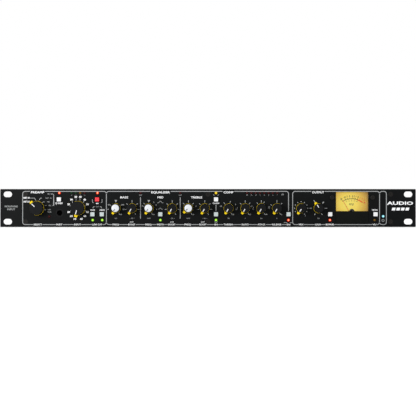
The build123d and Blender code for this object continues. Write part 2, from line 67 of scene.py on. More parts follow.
# ---------------------------------------------------------------- driving sizes, millimetres
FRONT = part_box("front_panel")[0].y / MM
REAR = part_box("rear_panel")[1].y / MM
PRINT_T = 0.06              # ink stands this far off the panel
INK_FRONT = FRONT - PRINT_T
INK_BACK = FRONT + 0.02     # and reaches this far into it
LED_R = 1.5
LINE = 0.8                  # outline width
FINE = 0.55                 # tick and leader width
THIN = 0.5                  # width of small signs
OUT_TOP, OUT_BOTTOM = 19.3, -19.25
CORNER = 2.9
LABEL_Z = -19.3
JOINTS = {j["name"]: j for j in frame["joints"]}
KNOBS = [name[:-5] for name in JOINTS if name.endswith("_turn")]
LARGE = ("select", "input")
WHITE_CAPS = ("bass_freq", "mid_freq", "treble_freq")
KNOB_X = {k: JOINTS[f"{k}_turn"]["pos_m"][0] / MM for k in KNOBS}
KNOB_Z = JOINTS["select_turn"]["pos_m"][2] / MM
LOWEST = -150               # a small knob's lowest setting, degrees clockwise from straight up
INPUT_LOWEST = -165
REST_ANGLE = {k: LOWEST for k in KNOBS}
REST_ANGLE.update(select=-44, input=INPUT_LOWEST, treble_freq=-134, gain=-30)

# places that lights and print share
TOP_ROW, LOW_ROW = 17.5, -14.0          # heights of the two rows of lights
CLIP_X, CLIP_Z = (-78.4, -32.3), 17.6   # clip lights, each over a divider
PHANTOM_X = -128.6                      # phantom power button, over the pair of low-cut buttons
MID_X = -55.3                           # middle of the mid band
CHAIN_X = 9.3                           # column of the chain and equaliser buttons
LEVEL_X, LEVEL_STEP = -158.6, 5.1       # input level lights
REDUCTION_X, REDUCTION_STEP = 45.4, 5.0  # gain reduction lights
REDUCTION_MARKS = ("20", "16", "12", "9", "6", "4", "2", "1")

# light: (x, z, look)
LIGHTS = [
    (-184.3, -9.9, "red_dark"), (-172.6, TOP_ROW, "red"), (LEVEL_X, TOP_ROW, "green_dark"),
    (LEVEL_X + LEVEL_STEP, TOP_ROW, "green_dark"), (LEVEL_X + 2 * LEVEL_STEP, TOP_ROW, "amber_dark"),
    (LEVEL_X + 3 * LEVEL_STEP, TOP_ROW, "red_dark"), (PHANTOM_X + 0.3, TOP_ROW, "red"),
    (-133.9, LOW_ROW, "green"), (-122.8, LOW_ROW, "green"), (CLIP_X[0], CLIP_Z, "red_dark"),
    (MID_X, LOW_ROW, "green"), (CLIP_X[1], CLIP_Z, "red_dark"), (CHAIN_X, TOP_ROW, "yellow"),
    (CHAIN_X, LOW_ROW, "green"), (93.4, LOW_ROW, "red"), (141.6, LOW_ROW, "red"),
    (193.4, LOW_ROW, "amber_dark"), (203.4, -9.6, "blue"),
] + [(REDUCTION_X + REDUCTION_STEP * i, TOP_ROW, "red_dark") for i in range(len(REDUCTION_MARKS))]


# ---------------------------------------------------------------- mesh helpers
def new_piece(name, bm, body, material, smooth=None):
    """Turn a bmesh in millimetres into a piece that rides on a body."""
    bmesh.ops.remove_doubles(bm, verts=bm.verts, dist=1e-5)
    bmesh.ops.recalc_face_normals(bm, faces=bm.faces)
    bmesh.ops.scale(bm, vec=(MM, MM, MM), verts=bm.verts)
    mesh = bpy.data.meshes.new(name)
    bm.to_mesh(mesh)
    bm.free()
    obj = bpy.data.objects.new(name, mesh)
    bpy.context.scene.collection.objects.link(obj)
    mesh.materials.append(material)
    if smooth:
        mesh.polygons.foreach_set("use_smooth", [True] * len(mesh.polygons))
        mesh.set_sharp_from_angle(angle=radians(smooth))
    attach(obj, body)
    return obj


def prism(bm, outline, y0, y1):
    """Closed prism from an outline of (x, z) points between two depths."""
    front = [bm.verts.new((x, y0, z)) for x, z in outline]
    back = [bm.verts.new((x, y1, z)) for x, z in outline]
    count = len(outline)
    bm.faces.new(front)
    bm.faces.new(back[::-1])
    for i in range(count):
        j = (i + 1) % count
        bm.faces.new((front[i], back[i], back[j], front[j]))


def block(bm, x0, x1, y0, y1, z0, z1):
    prism(bm, [(x0, z0), (x1, z0), (x1, z1), (x0, z1)], y0, y1)


def apart(a, b):
    return hypot(a[0] - b[0], a[1] - b[1])


def ribbon(bm, points, width, y0=None, y1=None):
    """Flat printed line of even width along a run of (x, z) points."""
    y0 = INK_FRONT if y0 is None else y0
    y1 = INK_BACK if y1 is None else y1
    points = [p for i, p in enumerate(points) if i == 0 or apart(p, points[i - 1]) > 1e-4]
    left, right = [], []
    last = len(points) - 1
    for i, (x, z) in enumerate(points):
        ax, az = points[max(i - 1, 0)]
        bx, bz = points[min(i + 1, last)]
        dx, dz = bx - ax, bz - az
        size = hypot(dx, dz)
        nx, nz = -dz / size, dx / size
        stretch = 1.0
        if 0 < i < last:
            ex, ez = bx - x, bz - z
            run = hypot(ex, ez)
            stretch = 1 / max(0.5, abs((-ez * nx + ex * nz) / run))
        reach = width / 2 * stretch
        left.append((x + nx * reach, z + nz * reach))
        right.append((x - nx * reach, z - nz * reach))
    prism(bm, left + right[::-1], y0, y1)


def arc(cx, cz, radius, start, end, step=6):
    """Points on an arc; angles in degrees clockwise from straight up."""
    count = max(2, int(abs(end - start) / step) + 1)
    turns = [radians(start + (end - start) * i / count) for i in range(count + 1)]
    return [(cx + radius * sin(t), cz + radius * cos(t)) for t in turns]


def lathe(bm, profile, cx, cz, steps=32):
    """Closed solid turned about the line through (cx, cz) along Y; profile of (radius, y) points."""
    rings = []
    for radius, y in profile:
        if radius < 1e-6:
            rings.append([bm.verts.new((cx, y, cz))])
            continue
        turns = [2 * pi * i / steps for i in range(steps)]
        rings.append([bm.verts.new((cx + radius * sin(t), y, cz + radius * cos(t))) for t in turns])
    for a, b in zip(rings, rings[1:]):
        for i in range(steps):
            j = (i + 1) % steps
            corners = [a[i % len(a)], a[j % len(a)], b[j % len(b)], b[i % len(b)]]
            unique = list(dict.fromkeys(corners))
            if len(unique) > 2:
                bm.faces.new(unique)


def lettering(bm, text, x, z, cap, bold=0.0, y=None, turn=0.0, behind=False, squeeze=1.0, width=None):
    """Thin raised letters centred on (x, z); cap is the capital's height, width the finished length."""
    curve = bpy.data.curves.new("letters", "FONT")
    curve.body = text
    curve.size = cap / 0.7
    curve.align_x = "CENTER"
    curve.align_y = "CENTER"
    curve.offset = bold
    curve.resolution_u = 2
    curve.extrude = PRINT_T / 2
    holder = bpy.data.objects.new("letters", curve)
    bpy.context.scene.collection.objects.link(holder)
    bpy.context.view_layer.update()
    mesh = bpy.data.meshes.new_from_object(holder)
    if width:
        sides = [v.co.x for v in mesh.vertices]
        squeeze = width / (max(sides) - min(sides))
    y = FRONT - PRINT_T / 2 if y is None else y
    facing = Matrix.Rotation(pi / 2, 4, "X")
    if behind:
        facing = Matrix.Rotation(pi, 4, "Z") @ facing
    place = Matrix.Translation((x, y, z)) @ Matrix.Rotation(radians(turn), 4, "Y") @ facing
    mesh.transform(place @ Matrix.Diagonal((squeeze, 1, 1, 1)))
    bm.from_mesh(mesh)
    bpy.data.objects.remove(holder)
    bpy.data.curves.remove(curve)
    bpy.data.meshes.remove(mesh)


# ---------------------------------------------------------------- materials
def material(name, color, rough=0.5, metal=0.0, grain=800.0, vary=0.12, bump=0.0, bump_size=None,
             coat=0.0, stretch=(1, 1, 1), rough_vary=0.08, shine=0.5):
    """Procedural surface: cloudy colour and roughness over a fine bump, in object space."""
    mat = bpy.data.materials.new(name)
    mat.use_nodes = True
    nodes, links = mat.node_tree.nodes, mat.node_tree.links
    shader = nodes["Principled BSDF"]
    shader.inputs["Metallic"].default_value = metal
    shader.inputs["Coat Weight"].default_value = coat
    shader.inputs["Specular IOR Level"].default_value = shine
    where = nodes.new("ShaderNodeTexCoord")
    scale = nodes.new("ShaderNodeMapping")
    scale.inputs["Scale"].default_value = stretch
    links.new(where.outputs["Object"], scale.inputs["Vector"])
    cloud = nodes.new("ShaderNodeTexNoise")
    cloud.inputs["Scale"].default_value = grain / 12
    cloud.inputs["Detail"].default_value = 6
    links.new(scale.outputs["Vector"], cloud.inputs["Vector"])
    ramp = nodes.new("ShaderNodeValToRGB")
    low, high = ramp.color_ramp.elements
    low.position, high.position = 0.3, 0.7
    low.color = [c * (1 - vary) for c in color] + [1]
    high.color = [min(1, c * (1 + vary)) for c in color] + [1]
    links.new(cloud.outputs["Fac"], ramp.inputs["Fac"])
    links.new(ramp.outputs["Color"], shader.inputs["Base Color"])
    gloss = nodes.new("ShaderNodeMapRange")
    gloss.inputs["To Min"].default_value = max(0.02, rough - rough_vary)
    gloss.inputs["To Max"].default_value = min(1.0, rough + rough_vary)
    links.new(cloud.outputs["Fac"], gloss.inputs["Value"])
    links.new(gloss.outputs["Result"], shader.inputs["Roughness"])
    if bump:
        fine = nodes.new("ShaderNodeTexNoise")
        fine.inputs["Scale"].default_value = bump_size or grain
        fine.inputs["Detail"].default_value = 3
        links.new(scale.outputs["Vector"], fine.inputs["Vector"])
        relief = nodes.new("ShaderNodeBump")
        relief.inputs["Strength"].default_value = bump
        relief.inputs["Distance"].default_value = 0.0001
        links.new(fine.outputs["Fac"], relief.inputs["Height"])
        links.new(relief.outputs["Normal"], shader.inputs["Normal"])
    return mat


def radial_glow(name, stops, strength, reach_mm, centre=(0, 0), skin=(0.5, 0.5, 0.5)):
    """Lit surface whose colour runs outwards from a point in object space; stops are (position, colour)."""
    mat = bpy.data.materials.new(name)
    mat.use_nodes = True
    nodes, links = mat.node_tree.nodes, mat.node_tree.links
    shader = nodes["Principled BSDF"]
    where = nodes.new("ShaderNodeTexCoord")
    shift = nodes.new("ShaderNodeVectorMath")
    shift.operation = "SUBTRACT"
    shift.inputs[1].default_value = (centre[0] * MM, 0, centre[1] * MM)
    links.new(where.outputs["Object"], shift.inputs[0])
    flat = nodes.new("ShaderNodeVectorMath")
    flat.operation = "MULTIPLY"
    flat.inputs[1].default_value = (1, 0, 1)
    links.new(shift.outputs[0], flat.inputs[0])
    away = nodes.new("ShaderNodeVectorMath")
    away.operation = "LENGTH"
    links.new(flat.outputs[0], away.inputs[0])
    share = nodes.new("ShaderNodeMapRange")
    share.inputs["From Max"].default_value = reach_mm * MM
    links.new(away.outputs["Value"], share.inputs["Value"])
    ramp = nodes.new("ShaderNodeValToRGB")
    ramp.color_ramp.elements[0].position = stops[0][0]
    ramp.color_ramp.elements[0].color = (*stops[0][1], 1)
    ramp.color_ramp.elements[1].position = stops[-1][0]
    ramp.color_ramp.elements[1].color = (*stops[-1][1], 1)
    for position, color in stops[1:-1]:
        ramp.color_ramp.elements.new(position).color = (*color, 1)
    links.new(share.outputs["Result"], ramp.inputs["Fac"])
    shader.inputs["Base Color"].default_value = (*skin, 1)
    shader.inputs["Roughness"].default_value = 0.3
    shader.inputs["Specular IOR Level"].default_value = 0.15
    links.new(ramp.outputs["Color"], shader.inputs["Emission Color"])
    shader.inputs["Emission Strength"].default_value = strength
    return mat


def clear_lens():
    mat = material("lens_clear", (0.97, 0.97, 0.94), rough=0.04, vary=0.01, rough_vary=0.02)
    shader = mat.node_tree.nodes["Principled BSDF"]
    shader.inputs["Transmission Weight"].default_value = 1.0
    shader.inputs["IOR"].default_value = 1.3
    return mat


def coated(name, color, rough=0.5, shine=0.1):
    """Powder coat: dark, fine, evenly pebbled."""
    return material(name, color, rough=rough, grain=1500, vary=0.18, bump=0.35, bump_size=2600, shine=shine)


def tinted(name, color):
    """Unlit coloured epoxy."""
    return material(name, color, rough=0.25, vary=0.1, shine=0.15)


# colour stops of the lit lights, from the middle outwards
RED_HOT = ((0.0, (1.0, 0.95, 0.6)), (0.3, (1.0, 0.75, 0.3)), (0.55, (1.0, 0.06, 0.01)),
           (1.0, (0.75, 0.0, 0.0)))
GREEN_HOT = ((0.0, (0.85, 1.0, 0.18)), (0.5, (0.55, 0.95, 0.06)), (1.0, (0.08, 0.35, 0.0)))
YELLOW_HOT = ((0.0, (1.0, 0.9, 0.05)), (0.6, (1.0, 0.75, 0.02)), (1.0, (0.6, 0.3, 0.0)))
BLUE_HOT = ((0.0, (0.95, 1.0, 1.0)), (0.45, (0.45, 0.9, 0.92)), (1.0, (0.02, 0.2, 0.3)))
M = {
    "panel_black": coated("panel_black", (0.0014, 0.0020, 0.0022), 0.48, 0.08),
    "case_black": coated("case_black", (0.010, 0.010, 0.011), 0.42, 0.15),
    "screw_black": material("screw_black", (0.016, 0.015, 0.014), rough=0.32, metal=0.8, bump=0.1, shine=0.2),
    "screw_zinc": material("screw_zinc", (0.55, 0.55, 0.52), rough=0.3, metal=1.0, bump=0.1),
    "knob_black": material("knob_black", (0.0035, 0.0037, 0.0042), rough=0.45, bump=0.25, bump_size=3500,
                           shine=0.08),
    "cap_white": material("cap_white", (0.56, 0.58, 0.61), rough=0.3, vary=0.03, coat=0.2),
    "pointer_yellow": material("pointer_yellow", (0.87, 0.62, 0.004), rough=0.45, vary=0.05, bump=0.1,
                               shine=0.1),
    "indicator_white": material("indicator_white", (0.62, 0.62, 0.63), rough=0.4, vary=0.03),
    "button_white": material("button_white", (0.66, 0.67, 0.68), rough=0.28, vary=0.03, coat=0.25),
    "button_grey": material("button_grey", (0.43, 0.49, 0.49), rough=0.3, vary=0.04, coat=0.2),
    "button_red": material("button_red", (0.66, 0.004, 0.018), rough=0.28, vary=0.05, coat=0.25),
    "print_bright": material("print_bright", (0.74, 0.75, 0.76), rough=0.55, vary=0.05),
    "print_white": material("print_white", (0.27, 0.28, 0.285), rough=0.55, vary=0.06),
    "print_grey": material("print_grey", (0.26, 0.27, 0.27), rough=0.55, vary=0.06),
    "meter_black": material("meter_black", (0.003, 0.0036, 0.003), rough=0.3, vary=0.1, shine=0.06),
    "meter_ink": material("meter_ink", (0.012, 0.008, 0.004), rough=0.6, vary=0.1, shine=0.1),
    "needle_red": material("needle_red", (0.75, 0.05, 0.004), rough=0.5, vary=0.05, shine=0.1),
    "lens_clear": clear_lens(),
    "socket_black": material("socket_black", (0.003, 0.003, 0.0033), rough=0.38, bump=0.2, bump_size=3000,
                             shine=0.1),
    "contact_metal": material("contact_metal", (0.72, 0.70, 0.66), rough=0.2, metal=1.0, vary=0.04),
    "switch_body": material("switch_body", (0.03, 0.03, 0.035), rough=0.45, bump=0.1),
    "board_green": material("board_green", (0.008, 0.09, 0.035), rough=0.3, vary=0.2, coat=0.3),
    "component_mix": material("component_mix", (0.02, 0.02, 0.028), rough=0.3, vary=0.15),
    "brass": material("brass", (0.62, 0.44, 0.16), rough=0.28, metal=1.0, vary=0.08),
    "winding": material("winding", (0.14, 0.10, 0.02), rough=0.3, vary=0.25, stretch=(1, 1, 0.2), coat=0.3),
    "red_dark": tinted("red_dark", (0.03, 0.001, 0.001)),
    "green_dark": tinted("green_dark", (0.002, 0.022, 0.005)),
    "amber_dark": tinted("amber_dark", (0.11, 0.055, 0.004)),
    "red": radial_glow("led_red_lit", RED_HOT, 1.35, LED_R, skin=(0.12, 0.002, 0.002)),
    "green": radial_glow("led_green_lit", GREEN_HOT, 1.0, LED_R, skin=(0.05, 0.2, 0.01)),
    "yellow": radial_glow("led_yellow_lit", YELLOW_HOT, 0.85, LED_R, skin=(0.12, 0.08, 0.004)),
    "blue": radial_glow("led_blue_lit", BLUE_HOT, 1.0, LED_R, skin=(0.05, 0.2, 0.25)),
}


def dress_cad():
    """Give each CAD node the material of its record slot."""
    for entry in frame["record"]["subparts"]:
        mesh = NODES[entry["node"]].data
        # the lights' node and the meter's dial plate have no look of their own: pieces below cover them
        chosen = M.get(entry["material_slot"], M["switch_body"])
        if not mesh.materials:
            mesh.materials.append(chosen)
        for index in range(len(mesh.materials)):
            mesh.materials[index] = chosen


# ---------------------------------------------------------------- printed lines of the panel
def open_run(bm, x0, x1, z, gaps):
    """Horizontal line with gaps for lettering; gaps are (start, end)."""
    start = x0
    for a, b in sorted(gaps):
        if b <= x0 or a >= x1:
            continue
        if a > start:
            ribbon(bm, [(start, z), (a, z)], LINE)
        start = max(start, b)
    if x1 > start:
        ribbon(bm, [(start, z), (x1, z)], LINE)


def section_box(bm, x0, x1, top_gaps, bottom_gaps, left=True, right_to=OUT_BOTTOM + CORNER,
                right_corner=True):
    """One rounded outline of the panel; a shared side is drawn once."""
    c = CORNER
    open_run(bm, x0 + c, x1 - c, OUT_TOP, top_gaps)
    open_run(bm, x0 + c, x1 - c if right_corner else x1, OUT_BOTTOM, bottom_gaps)
    ribbon(bm, arc(x0 + c, OUT_TOP - c, c, -90, 0, 15), LINE)
    ribbon(bm, arc(x1 - c, OUT_TOP - c, c, 0, 90, 15), LINE)
    ribbon(bm, arc(x0 + c, OUT_BOTTOM + c, c, -180, -90, 15), LINE)
    if right_corner:
        ribbon(bm, arc(x1 - c, OUT_BOTTOM + c, c, 90, 180, 15), LINE)
    if left:
        ribbon(bm, [(x0, OUT_BOTTOM + c), (x0, OUT_TOP - c)], LINE)
    ribbon(bm, [(x1, right_to), (x1, OUT_TOP - c)], LINE)


# label: (text, x, half width of the gap that the outline leaves for it)
BOTTOM_LABELS = [
    ("SELECT", -197.6, 5.4), ("INST", -172.7, 3.9), ("INPUT", -151.5, 4.4), ("LOW CUT", -128.8, 6.2),
    ("FREQ", -107.3, 4.2), ("BOOST", -88.6, 4.6), ("FREQ", -69.2, 4.2), ("WIDTH", -55.4, 4.6),
    ("BOOST", -41.9, 4.6), ("FREQ", -23.7, 4.2), ("BOOST", -6.0, 4.6), ("IN", 9.3, 2.4),
    ("THRESH", 23.5, 5.6), ("RATIO", 43.3, 4.6), ("ATTACK", 61.9, 5.0), ("RELEASE", 79.6, 5.8),
    ("IN", 93.5, 2.4), ("MIX", 108.0, 3.2), ("GAIN", 127.6, 3.9), ("BYPASS", 141.4, 5.2), ("VU", 193.4, 2.6),
]
# title: (text, x, width); the outline stops TITLE_GAP short of it
TITLES = [("PREAMP", -197.9, 15.6), ("EQUALISER", -55.2, 21.6), ("COMP", 23.7, 11.6), ("OUTPUT", 127.8, 13.8)]
TITLE_GAP = 1.0
SUBTITLES = [("BASS", -97.4, 9.2), ("MID", MID_X, 6.8), ("TREBLE", -13.3, 13.0)]
# upright sides of the four outlines; the second and the fifth are shared
SIDES = (-215.2, -118.0, 93.5, 98.3, 199.2, 207.1)


def printed_outlines():
    bm = bmesh.new()
    bottom = [(x - half, x + half) for _, x, half in BOTTOM_LABELS]
    top = [(x - width / 2 - TITLE_GAP, x + width / 2 + TITLE_GAP) for _, x, width in TITLES]
    section_box(bm, SIDES[0], SIDES[1], top, bottom)
    section_box(bm, SIDES[1], SIDES[2], top, bottom, left=False, right_to=-3.6, right_corner=False)
    section_box(bm, SIDES[3], SIDES[4], top, bottom)
    section_box(bm, SIDES[4], SIDES[5], [], [], left=False)
    for x in CLIP_X:
        ribbon(bm, [(x, -12.4), (x, 12.4)], LINE)
    ribbon(bm, [(CHAIN_X, -3.4), (CHAIN_X, 3.7)], LINE)
    return new_piece("print_outlines", bm, CASE, M["print_white"])


def printed_titles():
    bm = bmesh.new()
    for text, x, width in TITLES:
        lettering(bm, text, x, 18.1, 2.4, bold=0.08, width=width)
    for text, x, width in SUBTITLES:
        lettering(bm, text, x, 12.2, 2.3, bold=0.07, width=width)
    for text, z in (("INST HI", 11.7), ("INST LO", 7.3)):
        lettering(bm, text, -210.7, z, 1.8, bold=0.12, width=7.0)
    return new_piece("print_titles", bm, CASE, M["print_bright"])


def printed_labels():
    bm = bmesh.new()
    for text, x, half in BOTTOM_LABELS:
        lettering(bm, text, x, LABEL_Z, 1.8, bold=0.06, width=2 * half - 1.0)
    for x in (-88.6, -41.9, -6.0):
        lettering(bm, "CUT", x, -16.4, 1.5, bold=0.02)
    lettering(bm, "REV", -171.3, 5.4, 1.7, bold=0.1, width=5.2)
    ribbon(bm, arc(-176.0, 5.4, 0.9, 0, 360, 30), THIN)
    lettering(bm, "48V", PHANTOM_X, 5.2, 1.5, bold=0.05)
    lettering(bm, "80HZ", -134.0, -2.5, 1.6, bold=0.06, width=5.4)
    lettering(bm, "120HZ", -123.1, -2.5, 1.6, bold=0.06, width=6.0)
    lettering(bm, "CHAIN", CHAIN_X, 5.4, 1.6, bold=0.05, width=7.4)
    lettering(bm, "METER", 193.6, -2.4, 1.6, bold=0.04, width=6.6)
    return new_piece("print_labels", bm, CASE, M["print_bright"])


def select_leaders(bm):
    """Leader lines from the source names to the select knob, and the names on its right."""
    ribbon(bm, [(-206.6, 11.5), (-201.4, 11.5), (-199.8, 8.8)], FINE)
    ribbon(bm, [(-196.2, 8.8), (-194.6, 11.5), (-192.8, 11.5)], FINE)
    ribbon(bm, [(-192.8, 6.2), (-191.2, 7.1), (-189.6, 7.1)], FINE)
    ribbon(bm, [(-189.6, 2.8), (-187.6, 2.8)], FINE)
    ribbon(bm, [(-190.0, -2.0), (-187.9, -2.0)], FINE)
    bend = arc(-180.6, 14.9, 1.4, 0, 90, 30)
    ribbon(bm, [(-182.8, 16.3), (-180.6, 16.3)] + bend + [(-179.2, 2.8), (-180.6, 2.8)], LINE * 0.8)
    for text, x, z in (("48V", -185.0, 16.2), ("INST", -186.8, 11.5), ("MIC", -185.3, 7.1),
                       ("MIC", -183.6, 2.8), ("LINE", -184.3, -2.0), ("REAR", -184.0, -4.6)):
        lettering(bm, text, x, z, 1.4, bold=0.03, squeeze=0.9)
    ribbon(bm, [(-183.6, 11.5), (-181.4, 11.5)], FINE)


def printed_marks():
    """Small grey print: leaders, brackets, units and light captions."""
    bm = bmesh.new()
    select_leaders(bm)
    for side in (-1, 1):
        x = PHANTOM_X + side * 5.6
        ribbon(bm, [(x, 10.2), (x, 6.9), (x - side * 1.2, 6.0)], FINE)
    ribbon(bm, [(-133.8, -0.4), (-133.0, 1.5), (-131.4, 1.5)], FINE)
    ribbon(bm, [(-125.8, 1.5), (-124.2, 1.5), (-123.4, -0.4)], FINE)
    lettering(bm, "CUT", PHANTOM_X, 1.4, 1.2, bold=0.03)
    for x in CLIP_X:
        lettering(bm, "CLIP", x, 14.8, 1.2, bold=0.03)
    for side in (-1, 1):
        tip = CHAIN_X + side * 2.0
        ribbon(bm, [(tip + side * 1.2, 15.6), (tip, 14.5)], FINE)
        ribbon(bm, [(CHAIN_X + side * 1.7, -15.7), (CHAIN_X, -17.5)], FINE)
    for i, mark in enumerate(REDUCTION_MARKS):
        lettering(bm, mark, REDUCTION_X + REDUCTION_STEP * i, 15.0, 1.2, bold=0.03)
    lettering(bm, "GR", 86.6, 15.6, 1.6, bold=0.04)
    for i, mark in enumerate(("-20", "0", "6", "CL")):
        lettering(bm, mark, LEVEL_X + LEVEL_STEP * i, 14.9 if i in (0, 3) else 15.1, 1.0)
    ribbon(bm, [(88.0, -16.9), (92.0, -16.9)], FINE)
    ribbon(bm, [(95.0, -16.9), (98.0, -16.9)], FINE)
    power_sign(bm, 203.2, -14.5)
    units = {"bass_freq": "HZ", "mid_freq": "KHZ", "treble_freq": "KHZ", "threshold": "DB", "ratio": "1",
             "attack": "MS", "release": "S", "gain": "DB"}
    for name, text in units.items():
        lettering(bm, text, KNOB_X[name], -12.1, 1.3, bold=0.02)
    for name in ("bass_gain", "mid_gain", "treble_gain"):
        lettering(bm, "-  DB  +", KNOB_X[name], -12.1, 1.2, bold=0.02)
    bell(bm, 7.1, 3.6, 2.6)
    bell(bm, -0.6, 2.6, 1.8)
    return new_piece("print_marks", bm, CASE, M["print_grey"])


def power_sign(bm, x, z):
    """Open ring with a bar in its gap, under the power light."""
    ribbon(bm, arc(x, z, 1.35, 30, 330, 20), THIN)
    ribbon(bm, [(x, z + 0.3), (x, z + 1.8)], THIN)


def bell(bm, z, half, height):
    """Bell-curve sign of the mid band's width."""
    count = 16
    steep = 2.6
    points = []
    for i in range(count + 1):
        t = -1 + 2 * i / count
        lift = height * (1 / (1 + (steep * t) ** 2) - 1 / (1 + steep ** 2))
        points.append((MID_X + half * t, z - height / 2 + lift))
    ribbon(bm, points, 0.45)


def badge():
    """Generic lettering and slanted bars at the panel's two ends."""
    bm = bmesh.new()
    lettering(bm, "AUDIO", 223.2, 5.4, 3.7, bold=0.16, width=30.5)
    for i in range(4):
        x0 = 213.2 + 5.3 * i
        slanted = [(x0, -2.8), (x0 + 3.9, -2.8), (x0 + 4.7, 0.4), (x0 + 0.8, 0.4)]
        prism(bm, slanted, INK_FRONT, INK_BACK)
    left = bmesh.new()
    lettering(left, "MICROPHONE", -228.6, 1.7, 2.0, bold=0.06, width=15.0)
    lettering(left, "INPUT", -228.6, -1.6, 2.0, bold=0.06, width=9.0)
    new_piece("badge_right", bm, CASE, M["print_bright"])
    return new_piece("badge_left", left, CASE, M["print_grey"])


# ---------------------------------------------------------------- dials
def polar(x, angle, radius):
    turn = radians(angle)
    return x + radius * sin(turn), KNOB_Z + radius * cos(turn)


def tick(bm, x, angle, r0, r1, width=FINE):
    ribbon(bm, [polar(x, angle, r0), polar(x, angle, r1)], width)


def wedge(bm, x, angle, r0, r1, width):
    """Tapered dial mark, wide outside."""
    inner = polar(x, angle, r0)
    turn = radians(angle)
    across = (cos(turn) * width / 2, -sin(turn) * width / 2)
    ox, oz = polar(x, angle, r1)
    prism(bm, [inner, (ox + across[0], oz + across[1]), (ox - across[0], oz - across[1])],
          INK_FRONT, INK_BACK)


def pot_dial(bm, name, marks, numbers):
    """Ticks at the given angles, a longer one straight up, and numbers outside some of them."""
    x = KNOB_X[name]
    for angle in marks:
        tick(bm, x, angle, 6.5, 8.6 if angle else 9.3, 0.65)
    for angle, text in numbers:
        px, pz = polar(x, angle, 9.2)
        lettering(bm, text, px, pz, 1.3, bold=0.06)


# places of the input dial's numbers about its knob, clockwise from the lowest setting
INPUT_SIDE = ((7.7, 9.9), (10.9, 4.5), (10.9, -4.5), (7.9, -9.2), (3.9, -12.5))
INPUT_PLACES = [(-x, z) for x, z in reversed(INPUT_SIDE)] + [(-2.6, 13.1), (2.6, 13.1)] + list(INPUT_SIDE)


# dial: (knob, angles of its ticks, numbers with their angles)
POT_DIALS = (
    ("bass_freq", (-60, 60, 150), ((-64, "60"), (64, "200"), (-98, "40"), (98, "280"), (142, "400"))),
    ("mid_freq", (-45, -70, 150), ((-98, "1"), (40, "3"), (66, "4"), (98, "6"), (142, "10"))),
    ("treble_freq", (-45, 0, 45, 150), ((-98, "2"), (75, "8"), (142, "16"))),
    ("threshold", (-40, 15, 150), ((-75, "-20"), (62, "0"), (98, "10"), (142, "20"))),
    ("ratio", (-45, 0, 42, 72, 150), ((-88, "2"), (98, "8"), (142, "20"))),
    ("attack", (-38, 0, 25, 150), ((-85, "2"), (80, "30"), (142, "100"))),
    ("release", (-60, 0, 45, 150), ((-88, "0.2"), (142, "2"))),
)
# gain dial's ticks: (angle, inner radius, outer radius, width)
GAIN_TICKS = ((-30, 8.2, 10.6, 0.9), (40, 7.4, 9.8, 1.1), (90, 7.2, 10.4, 0.7), (-90, 7.6, 10.2, 0.8),
              (150, 7.0, 9.0, 0.8), (-150, 7.0, 9.0, 0.8))


def input_dial(bm, numbers):
    """Twelve numbers about the input knob, with leaders to the upper ones."""
    x = KNOB_X["input"]
    for k, (across, up) in enumerate(INPUT_PLACES):
        angle = INPUT_LOWEST + 30 * k
        if abs(angle) < 110:
            away = hypot(across, up)
            reach = away - 1.6
            end = (x + across * reach / away, KNOB_Z + up * reach / away)
            ribbon(bm, [polar(x, angle, 8.9), end], 0.45)
        lettering(numbers, str(10 + 5 * k), x + across, KNOB_Z + up, 1.9, bold=0.14, width=3.1)


def dials():
    bm, numbers = bmesh.new(), bmesh.new()
    input_dial(bm, numbers)
    for name in ("bass_gain", "mid_gain", "treble_gain"):
        pot_dial(bm, name, (-100, -50, 0, 50, 100, 150), ())
    for name in ("bass_freq", "mid_freq"):
        wedge(bm, KNOB_X[name], 0, 6.6, 9.6, 3.0)
    for name, marks, figures in POT_DIALS:
        pot_dial(bm, name, marks, figures)
    for k in range(11):
        tick(bm, KNOB_X["mix"], LOWEST + 30 * k, 7.1, 8.2, 1.0)
    lettering(bm, "%", *polar(KNOB_X["mix"], 150, 9.8), 1.3)
    for angle, inner, outer, width in GAIN_TICKS:
        tick(bm, KNOB_X["gain"], angle, inner, outer, width)
    new_piece("print_dials", bm, CASE, M["print_white"])
    new_piece("print_numbers", numbers, CASE, M["print_bright"])


# ---------------------------------------------------------------- knobs
CAP_R = 4.35                # white cap on three of the small knobs
GROOVE_HALF = 0.47          # half the width of the indicator groove
GROOVE_LARGE = (2.4, 7.2)   # its inner and outer ends
GROOVE_SMALL = (1.0, 4.6)


def white_cap(name, front):
    """Domed white cap over the knob's front, with a dark line."""
    cap = bmesh.new()
    profile = [(0, front - 0.55), (CAP_R - 0.65, front - 0.5), (CAP_R - 0.2, front - 0.35),
               (CAP_R, front - 0.05), (CAP_R, front + 0.25), (CAP_R - 0.25, front + 0.3), (0, front + 0.3)]
    lathe(cap, profile, 0, 0, 48)
    piece = new_piece(f"{name}_cap", cap, f"{name}_control", M["cap_white"], smooth=40)
    piece.location = (KNOB_X[name] * MM, 0, KNOB_Z * MM)
    line = bmesh.new()
    block(line, -0.4, 0.4, front - 0.6, front - 0.45, 1.2, 3.8)
    turn_piece(new_piece(f"{name}_line", line, f"{name}_control", M["knob_black"]), name)


def indicator(name, front):
    """White bar in the knob's groove, just below its front."""
    inner, outer = GROOVE_LARGE if name in LARGE else GROOVE_SMALL
    bm = bmesh.new()
    block(bm, -GROOVE_HALF, GROOVE_HALF, front + 0.02, front + 0.34, inner + 0.02, outer)
    piece = new_piece(f"{name}_indicator", bm, f"{name}_control", M["indicator_white"])
    turn_piece(piece, name)


def knob_trim(name):
    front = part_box(f"{name}_knob")[0].y / MM
    if name in WHITE_CAPS:
        white_cap(name, front)
    else:
        indicator(name, front)


def turn_piece(piece, name):
    """Turn a piece that points up to its knob's rest angle, in place."""
    place = Matrix.Translation((KNOB_X[name] * MM, 0, KNOB_Z * MM))
    piece.matrix_world = place @ Matrix.Rotation(radians(REST_ANGLE[name]), 4, "Y")


